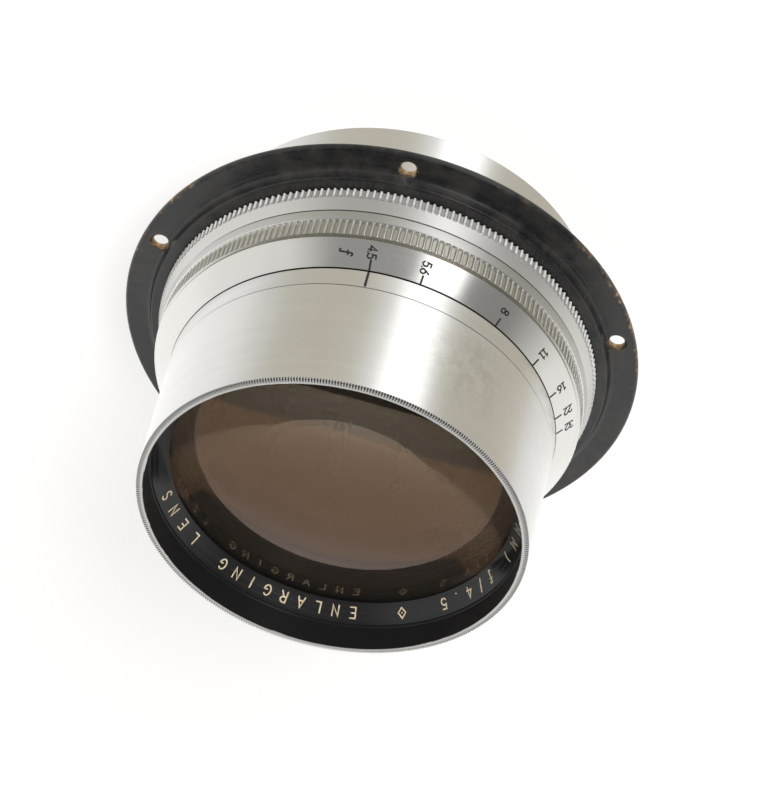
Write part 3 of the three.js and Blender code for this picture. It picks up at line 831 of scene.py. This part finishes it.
BLADES = 18
PIVOT_CIRCLE = 31.0
PIN = 0.45
DRIVE_PIN_DEGREES = 137.35  # from the pivot pin, about the optical axis
BLADE_REACH = (26.25, 32.0)  # inner and outer radius
BLADE_BASE, BLADE_THICKNESS = 25.45, 0.05
BLADE_RAMP = ((-2.0, 0.0), (20.0, 0.15), (118.0, 3.05), (139.35, 3.2))  # angle along the blade, rise
BLADE_OVERHANG = 1.8  # degrees beyond each pin
SCREW_DEGREES, SCREW_Z = 47.35, 30.05


def pin(name, low, high):
    """A blade's pin along +Z, with rounded ends."""
    return turned(name, rounded([(0.0, low), (PIN, low), (PIN, high), (0.0, high)]), columns=24)


def rise(degrees):
    """How far a blade has climbed at an angle along it."""
    for (a, low), (b, high) in zip(BLADE_RAMP, BLADE_RAMP[1:]):
        if degrees <= b:
            return low + (high - low) * (degrees - a) / (b - a)
    return BLADE_RAMP[-1][1]


def blade_strip():
    """The thin curved leaf of a blade, with rounded ends."""
    inner, outer = BLADE_REACH
    middle, half = (inner + outer) / 2, (outer - inner) / 2
    steps, end_steps = 72, 6
    stations = []
    for i in range(end_steps):
        share = i / end_steps
        width = half * (0.62 + 0.38 * math.sqrt(1 - (1 - share) ** 2))
        stations.append((-BLADE_OVERHANG * (1 - share), width))
    stations += [(DRIVE_PIN_DEGREES * i / steps, half) for i in range(steps + 1)]
    stations += [(DRIVE_PIN_DEGREES - at, width) for at, width in reversed(stations[:end_steps])]
    sections = []
    for at, width in stations:
        z, angle = BLADE_BASE + rise(at), math.radians(at)
        near, far = middle - width, middle + width
        sections.append([(r * math.cos(angle), r * math.sin(angle), z + dz * BLADE_THICKNESS)
                         for r, dz in ((near, -0.5), (far, -0.5), (far, 0.5), (near, 0.5))])
    return swept("leaf", sections)


def outward(distance):
    """A move along +X, in mm."""
    return Matrix.Translation(Vector((distance, 0, 0)) * MM)


def iris_blades(steel):
    tail = BLADE_BASE + rise(DRIVE_PIN_DEGREES)
    for i in range(BLADES):
        pivot = moved(pin("pivot", 24.2, BLADE_BASE + 0.01), outward(PIVOT_CIRCLE))
        drive = pin("drive", tail - 0.01, 30.95)
        moved(drive, turn(DRIVE_PIN_DEGREES) @ outward(PIVOT_CIRCLE))
        node = f"iris_blade_{i + 1:02d}"
        blade = joined(node + "_leaf", [blade_strip(), pivot, drive])
        moved(blade, turn(360 * i / BLADES))
        place(blade, node, "blade_steel", steel, node)


def iris_housing(bronze):
    rows = rounded(outline("iris_housing", 10), 0.15)
    piece = turned("iris_housing_cup", rows)
    drills = []
    for i in range(BLADES):
        drill = turned("drill", [(0.0, 23.0), (0.68, 23.0), (0.68, 27.0), (0.0, 27.0)], columns=24)
        drills.append(moved(drill, turn(i * 360 / BLADES) @ outward(PIVOT_CIRCLE)))
    place(cut(piece, drills), "barrel", "brass", bronze, "iris_housing")


def slot_cutter(degrees):
    """Clears one drive pin's run through the cam ring: a long hole along a radius, with round ends."""
    inner, outer, half = 26.05, 31.75, 1.3
    points, arc = [], 8
    for x, start in ((outer - half, -90), (inner + half, 90)):
        for i in range(arc + 1):
            at = math.radians(start + 180 * i / arc)
            points.append((x + half * math.cos(at), half * math.sin(at)))
    low, high = 28.0, 32.0
    ring = len(points)
    places = [(x, y, low) for x, y in points] + [(x, y, high) for x, y in points]
    faces = [tuple(reversed(range(ring))), tuple(range(ring, 2 * ring))]
    faces += [(i, (i + 1) % ring, ring + (i + 1) % ring, ring + i) for i in range(ring)]
    return moved(mesh_piece("slot", places, faces), turn(degrees))


def radial_turned(name, rows, columns=40):
    """Turned rows of [radius, distance from the optical axis], laid along the drive screw's axis."""
    piece = turned(name, rows, columns=columns)
    lay = Matrix.Translation((0, 0, SCREW_Z * MM)) @ Matrix.Rotation(math.radians(90), 4, "Y")
    return moved(piece, turn(SCREW_DEGREES) @ lay)


def cam_ring(bronze):
    piece = turned("cam_ring", rounded(outline("iris_cam_ring", 10), 0.15))
    cutters = [slot_cutter(DRIVE_PIN_DEGREES + i * 360 / BLADES) for i in range(BLADES)]
    cutters.append(radial_turned("tap", [(0.0, 29.4), (0.95, 29.4), (0.95, 35.0), (0.0, 35.0)]))
    place(cut(piece, cutters), "aperture_ring", "brass", bronze, "iris_cam_ring")


def drive_screw(brass):
    """The screw's shank with its thread's crests, and a slotted head."""
    rows = [(0.0, 29.9), (0.55, 29.9), (0.68, 30.05)]
    pitch, start, end = 0.35, 30.05, 37.4
    for i in range(int((end - start) / pitch)):
        rows += [(r, start + pitch * (i + share)) for r, share in ((0.80, 0.4), (0.80, 0.55), (0.70, 0.95))]
    rows += [(0.80, end + 0.1), (0.80, 38.35), (1.22, 38.35), (1.3, 38.43), (1.3, 38.85), (1.2, 38.98),
             (0.7, 39.05), (0.0, 39.05)]
    piece = radial_turned("drive_screw_body", rows)
    slot = mesh_piece("slot", *box((38.65, -0.25, SCREW_Z - 2.6), (39.65, 0.25, SCREW_Z + 2.6)))
    place(cut(piece, [moved(slot, turn(SCREW_DEGREES))]), "aperture_ring", "brass", brass, "drive_screw")


def box(low, high):
    """Points and faces of a box."""
    points = [(x, y, z) for x in (low[0], high[0]) for y in (low[1], high[1]) for z in (low[2], high[2])]
    return points, [(0, 1, 3, 2), (4, 6, 7, 5), (0, 4, 5, 1), (2, 3, 7, 6), (0, 2, 6, 4), (1, 5, 7, 3)]


def iris_parts():
    brass = metal_finish("screw_brass", (0.38, 0.28, 0.13), (0.62, 0.47, 0.24), 0.35)
    bronze = metal_finish("blackened_brass", (0.030, 0.024, 0.016), (0.070, 0.055, 0.034), 0.45)
    steel = metal_finish("blackened_blade_steel", (0.035, 0.036, 0.040), (0.075, 0.077, 0.085), 0.32,
                         across=800, along=200)
    iris_blades(steel)
    iris_housing(bronze)
    cam_ring(bronze)
    drive_screw(brass)


FIGURE, FIGURE_LINE = 1.6, 0.30
APERTURES = (  # figure, degrees from the camera's meridian, middle of the figure up the slope, tick length
    ("4.5", 8.1, 2.1, 1.75), ("5.6", -6.7, 2.35, 1.4), ("8", -31.7, 2.3, 1.4), ("11", -49.3, 2.45, 1.4),
    ("16", -62.5, 2.35, 1.4), ("22", -71.2, 2.2, 1.4), ("32", -77.2, 2.2, 1.4),
)
NAME_WORDS = (  # word, degrees of its first letter from the camera's meridian, degrees between letters
    ("ENLARGING", -165.1, 5.8), ("LENS", 134.5, 6.8), ("10", -16.0, 6.0), ("INCH", -33.0, 5.6),
    ("(254", -56.0, 5.6), ("MM)", -85.2, 6.9), ("f/4.5", -110.8, 5.5),
)


def slope_length(slope):
    (r0, z0), (r1, z1) = slope
    return math.hypot(r1 - r0, z1 - z0)


def aperture_scale(black):
    """The figures on the ring's cone, each with a tick at its front edge, and the f before them."""
    scale = Engraving("aperture_figures")
    for words, phi, middle, tick in APERTURES:
        at = phi + CAMERA_AZIMUTH
        scale.text(words, FIGURE, FIGURE_LINE, onto_slope(SCALE_SLOPE, at, middle, "axial"), spacing=0.07)
        mark = onto_slope(SCALE_SLOPE, at, slope_length(SCALE_SLOPE) - 0.05, "axial")
        scale.stroke([Vector((-tick, 0.0)), Vector((-0.1, 0.0))], 0.36, mark)
    scale.text("f", 2.1, 0.34, onto_slope(SCALE_SLOPE, 14.9 + CAMERA_AZIMUTH, 2.6, "axial"))
    place(scale.piece(), "aperture_ring", "satin_metal", black)


def index_line(black):
    """The line along the collar, at the first figure."""
    rear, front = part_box("index_collar")
    radius, low, high = front.x / MM, rear.z / MM, front.z / MM
    onto = onto_slope(((radius, low), (radius, high)), APERTURES[0][1] + CAMERA_AZIMUTH, 0.0, "axial")
    line = Engraving("index_line")
    line.stroke([Vector((0.28, 0.0)), Vector((high - low - 0.28, 0.0))], 0.46, onto)
    place(line.piece(), "barrel", "satin_metal", black)


def name_lettering():
    """The words round the name ring, and a plain lozenge between them."""
    name = Engraving("name_ring_lettering")
    middle = 0.5 * slope_length(NAME_SLOPE)
    for word, start, pitch in NAME_WORDS:
        for i, letter in enumerate(word):
            at = start - i * pitch + CAMERA_AZIMUTH
            name.text(letter, 2.0, 0.27, onto_slope(NAME_SLOPE, at, middle, "round"))
    name.text(["mark"], 2.2, 0.24, onto_slope(NAME_SLOPE, -148.5 + CAMERA_AZIMUTH, middle, "round"))
    cream = ink("lettering_cream", (0.40, 0.32, 0.21), (0.60, 0.50, 0.36))
    place(name.piece(), "barrel", "black_anodised", cream)


def lettering():
    black = ink("scale_ink", (0.006, 0.006, 0.007), (0.018, 0.018, 0.018))
    aperture_scale(black)
    index_line(black)
    name_lettering()


# ---- stage ----
JOINT_Z = 36.3
CAMERA_DISTANCE = 647.6
CAMERA_ELEVATION = 42.775
CAMERA_AIM = (-3.766, -1.717, 33.941)
CAMERA_ROLL = -165.04
LENS, SENSOR = 162.0, 36.0


def spherical(azimuth, elevation, distance):
    a, e = math.radians(azimuth), math.radians(elevation)
    return Vector((math.cos(a) * math.cos(e), math.sin(a) * math.cos(e), math.sin(e))) * distance


def camera():
    data = bpy.data.cameras.new("camera")
    data.lens, data.sensor_width, data.sensor_fit = LENS, SENSOR, "AUTO"
    data.clip_start, data.clip_end = 0.05, 20.0
    eye = bpy.data.objects.new("camera", data)
    bpy.context.scene.collection.objects.link(eye)
    at = (spherical(CAMERA_AZIMUTH, CAMERA_ELEVATION, CAMERA_DISTANCE) + Vector((0, 0, JOINT_Z))) * MM
    gaze = (Vector(CAMERA_AIM) * MM - at).to_track_quat("-Z", "Y").to_matrix().to_4x4()
    eye.matrix_world = Matrix.Translation(at) @ gaze @ Matrix.Rotation(math.radians(CAMERA_ROLL), 4, "Z")
    bpy.context.scene.camera = eye


# The studio round the object, by azimuth from the camera's meridian: the table below, whose far parts are
# warm and dull on both sides of a bright strip, and the room above it, which is dark about the camera. Both
# are white at the sides and behind. Another white strip stands beside the camera.
TABLE = (
    (-180, (1.28, 1.28, 1.27)), (-156, (1.18, 1.18, 1.18)), (-132, (1.0, 1.0, 1.0)),
    (-110, (0.86, 0.86, 0.85)), (-98, (0.62, 0.57, 0.49)), (-72, (0.56, 0.53, 0.46)),
    (-46, (0.60, 0.57, 0.50)), (-36, (0.80, 0.79, 0.76)), (-29, (1.6, 1.6, 1.6)), (-9, (1.6, 1.6, 1.6)),
    (-1, (0.90, 0.90, 0.89)), (12, (0.66, 0.63, 0.56)), (30, (0.60, 0.57, 0.49)), (58, (0.62, 0.59, 0.52)),
    (72, (0.73, 0.73, 0.71)), (90, (0.96, 0.96, 0.95)), (125, (1.12, 1.12, 1.12)),
    (156, (1.22, 1.22, 1.21)), (180, (1.28, 1.28, 1.27)),
)
ROOM = (
    (-180, (1.2, 1.2, 1.19)), (-110, (1.0, 1.0, 0.97)), (-92, (0.88, 0.88, 0.85)),
    (-78, (0.56, 0.56, 0.54)), (-62, (0.25, 0.25, 0.24)), (-8, (0.34, 0.34, 0.33)),
    (34, (0.34, 0.34, 0.33)), (46, (0.60, 0.60, 0.58)), (56, (0.82, 0.82, 0.80)), (92, (0.92, 0.92, 0.90)),
    (112, (1.05, 1.05, 1.03)), (180, (1.2, 1.2, 1.19)),
)
STRIP_AZIMUTH, STRIP_LEAN, STRIP_HALF_WIDTH = -13, -18, 10  # degrees; the lean is per unit of height
STRIP_LIGHT, CEILING_LIGHT = 3.1, 0.10
FLOOR_REACH, FLOOR_Z, FLOOR_GLOW = 3000, -0.05, 0.705
SHADE_RADIUS, SHADE_Z = 34.6, -0.04
KEY_SIZE, KEY_POWER = 0.4, 18.0  # metres, watts
KEY_PLACE = (CAMERA_AZIMUTH - 12, 36, 1300)  # azimuth, elevation, distance


def ramp(tree, share, stops):
    made = tree.nodes.new("ShaderNodeValToRGB")
    elements = made.color_ramp.elements
    for i, (azimuth, colour) in enumerate(stops):
        position = (azimuth + 180) / 360
        stop = elements[0] if i == 0 else elements[-1] if i == len(stops) - 1 else elements.new(position)
        stop.position = position
        stop.color = (*colour, 1.0)
    tree.links.new(share, made.inputs[0])
    return made.outputs[0]


class Sky(Shader):
    """The world's colour, built with the same short ways as a material."""

    def __init__(self):
        self.world = bpy.data.worlds.new("studio")
        self.world.use_nodes = True
        self.tree = self.world.node_tree
        self.surface = self.tree.nodes["Background"]


def direction(s):
    """Where a ray goes: its angle from the camera's meridian, and its sideways and upward parts."""
    spun = s.node("VectorRotate", s.node("TexCoord").outputs["Generated"], rotation_type="Z_AXIS")
    spun.inputs["Angle"].default_value = -math.radians(CAMERA_AZIMUTH)
    x, y, z = s.node("SeparateXYZ", spun.outputs[0]).outputs
    return s.math("ARCTAN2", y, x), y, z


def strip(s, angle, z):
    """How much of the white strip beside the camera a direction meets."""
    middle = s.math("MULTIPLY_ADD", z, math.radians(STRIP_LEAN), math.radians(STRIP_AZIMUTH))
    off = s.math("ABSOLUTE", s.math("SUBTRACT", angle, middle))
    half = math.radians(STRIP_HALF_WIDTH)
    upright = s.times(s.between(z, 0.575, 0.52), s.between(z, 0.05, 0.42, 0.25, 1.0))
    return s.times(s.between(off, half * 1.5, half * 0.7), upright)


def world():
    s = Sky()
    bpy.context.scene.world = s.world
    angle, y, z = direction(s)
    share = s.plus(s.math("DIVIDE", angle, math.tau), 0.5)
    table, room = ramp(s.tree, share, TABLE), ramp(s.tree, share, ROOM)
    lit = s.mix(strip(s, angle, z), room, rgb(STRIP_LIGHT, STRIP_LIGHT, STRIP_LIGHT))
    around = s.mix(s.between(z, -0.40, -0.26), table, lit)
    sag = s.times(s.math("MINIMUM", s.times(y, y), 0.23), 0.83)
    overhead = s.between(s.plus(z, sag), 0.908, 0.928)
    around = s.mix(overhead, around, rgb(CEILING_LIGHT, CEILING_LIGHT, CEILING_LIGHT))
    seen = s.node("LightPath").outputs["Is Camera Ray"]
    s.set("Color", s.mix(seen, around, rgb(1.0, 1.0, 1.0)))


def floor():
    """A wide sheet of pale paper, which metal does not reflect."""
    sides = (-FLOOR_REACH, FLOOR_REACH)
    corners = [(x, y, FLOOR_Z) for x in sides for y in sides]
    sheet = mesh_piece("floor", corners, [(0, 2, 3, 1)])
    s = Shader("floor_paper", Roughness=0.9)
    s.set("Base Color", rgb(0.32, 0.32, 0.32))
    s.set("Emission Color", rgb(1.0, 0.99, 0.97))
    s.set("Emission Strength", FLOOR_GLOW)
    sheet.data.materials.append(s.material)
    sheet.visible_glossy = False


def shade_disc():
    """Painted shade: a near-black disc under the lens, which keeps the floor's glow out of the glass."""
    disc = turned("shade_under_lens", [(0.0, SHADE_Z), (SHADE_RADIUS, SHADE_Z)], columns=96)
    painted_shade = Shader("painted_shade_black", Base_Color=rgb(0.01, 0.009, 0.008), Roughness=1.0)
    disc.data.materials.append(painted_shade.material)


def key_light():
    """A soft light near the camera, which only matt surfaces show."""
    key = bpy.data.lights.new("key_softbox", "AREA")
    key.shape, key.size, key.energy = "SQUARE", KEY_SIZE, KEY_POWER
    lamp = bpy.data.objects.new("key_softbox", key)
    bpy.context.scene.collection.objects.link(lamp)
    at = spherical(*KEY_PLACE) * MM
    lamp.matrix_world = Matrix.Translation(at) @ (-at).to_track_quat("-Z", "Y").to_matrix().to_4x4()
    lamp.visible_glossy = False
    lamp.visible_transmission = False


# ---- the scene ----
camera()
bpy.context.scene.view_settings.view_transform = "Standard"
world()
floor()
shade_disc()
key_light()
flange()
fixed_barrel()
aperture_ring()
collar()
front_barrel()
name_ring()
plain_rings()
glass()
iris_parts()
lettering()
